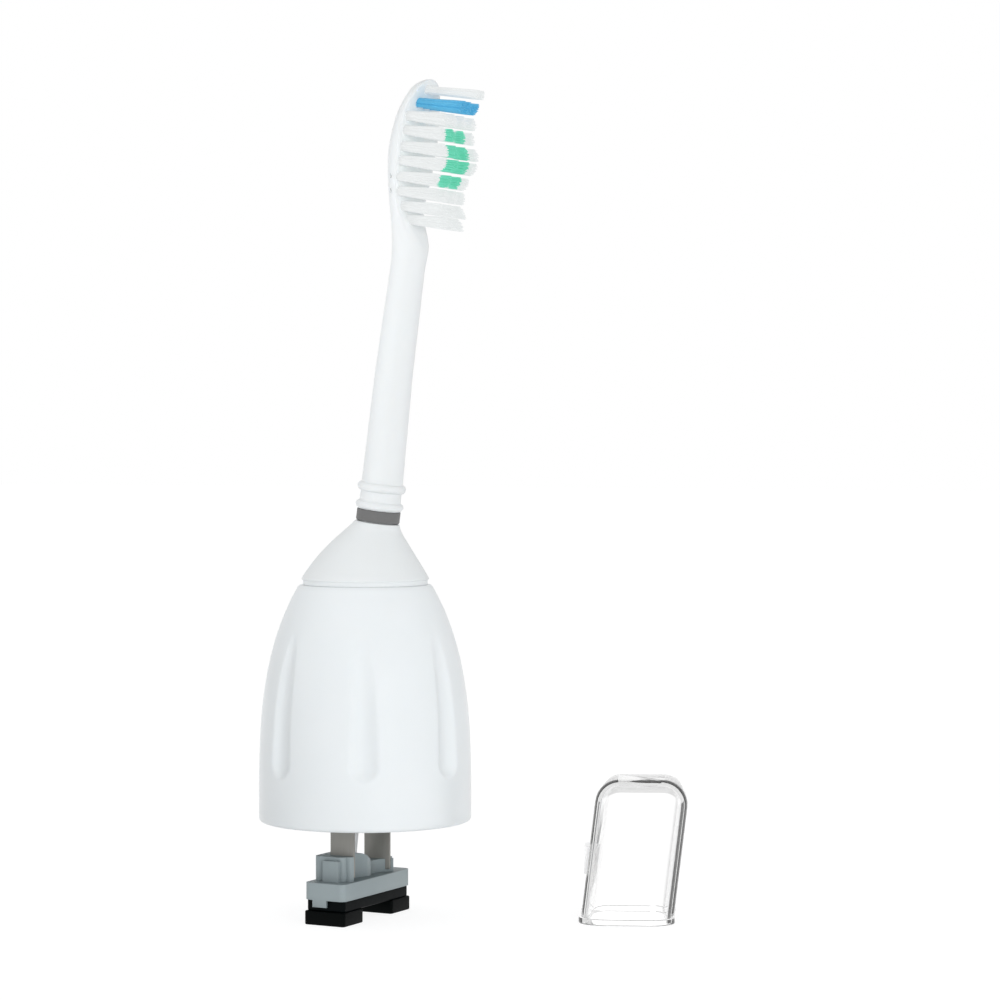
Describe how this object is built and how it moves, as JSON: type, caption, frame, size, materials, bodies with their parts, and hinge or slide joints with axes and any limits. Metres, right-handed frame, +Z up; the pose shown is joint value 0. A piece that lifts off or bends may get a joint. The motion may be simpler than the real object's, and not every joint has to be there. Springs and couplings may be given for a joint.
{
  "type": "electric toothbrush head",
  "caption": "Brush head for an electric toothbrush: leaning neck with a tufted head, soft boot, fluted fixing nut, sprung magnet block and a clear travel cap beside it.",
  "frame": {"origin": "centre of the nut's open rim, on the nut's axis", "axes": "+Z up the nut's axis, +X the way the bristles point, Y across the head"},
  "size_m": [0.056, 0.0385, 0.1146],
  "materials": {
    "white_moulding": "satin moulded white",
    "anchor_strip": "drawn strip",
    "grey_ring": "fine moulded grain",
    "white_elastomer": "soft satin white",
    "collar_moulding": "moulded pale grey",
    "nut_moulding": "satin moulded white",
    "spring_steel": "rolled spring strip",
    "grey_moulding": "moulded grey",
    "black_iron": "black coated",
    "black_magnet": "black epoxy coated",
    "clear_cap": "clear moulded",
    "white_bristle": "nylon filament",
    "blue_bristle": "dyed nylon filament",
    "green_bristle": "dyed nylon filament"
  },
  "bodies": {
    "base": {"collar": "collar_moulding", "boot": "white_elastomer", "cap": "clear_cap"},
    "nut": {"nut": "nut_moulding"},
    "arm": {"neck": "white_moulding", "tuft_anchors": "anchor_strip", "ident_ring": "grey_ring", "spring_left": "spring_steel", "spring_right": "spring_steel", "magnet_carrier": "grey_moulding", "back_iron": "black_iron", "magnet_left": "black_magnet", "magnet_right": "black_magnet", "tuft_1_1": "white_bristle", "tuft_1_2": "white_bristle", "tuft_2_1": "blue_bristle", "tuft_2_2": "blue_bristle", "tuft_2_3": "blue_bristle", "tuft_3_1": "white_bristle", "tuft_3_2": "white_bristle", "tuft_3_3": "white_bristle", "tuft_3_4": "white_bristle", "tuft_4_1": "white_bristle", "tuft_4_2": "green_bristle", "tuft_4_3": "green_bristle", "tuft_4_4": "white_bristle", "tuft_5_1": "white_bristle", "tuft_5_2": "green_bristle", "tuft_5_3": "green_bristle", "tuft_5_4": "white_bristle", "tuft_6_1": "white_bristle", "tuft_6_2": "green_bristle", "tuft_6_3": "green_bristle", "tuft_6_4": "white_bristle", "tuft_7_1": "white_bristle", "tuft_7_2": "green_bristle", "tuft_7_3": "green_bristle", "tuft_7_4": "white_bristle", "tuft_8_1": "white_bristle", "tuft_8_2": "white_bristle", "tuft_8_3": "white_bristle", "tuft_8_4": "white_bristle", "tuft_9_1": "white_bristle", "tuft_9_2": "white_bristle", "tuft_9_3": "white_bristle", "tuft_10_1": "white_bristle", "tuft_10_2": "white_bristle"}
  },
  "joints": [
    {"name": "nut_spin", "type": "hinge", "parent": "base", "child": "nut", "pos_m": [0, 0, 0], "axis": [0, 0, 1], "continuous": true},
    {"name": "head_sweep", "type": "hinge", "parent": "base", "child": "arm", "pos_m": [0, 0, 0.0271], "axis": [0.1392, 0, 0.9903], "range_deg": [-5, 5], "stiffness_Nm_per_rad": 0.25, "deforming": ["spring_left", "spring_right"]}
  ]
}
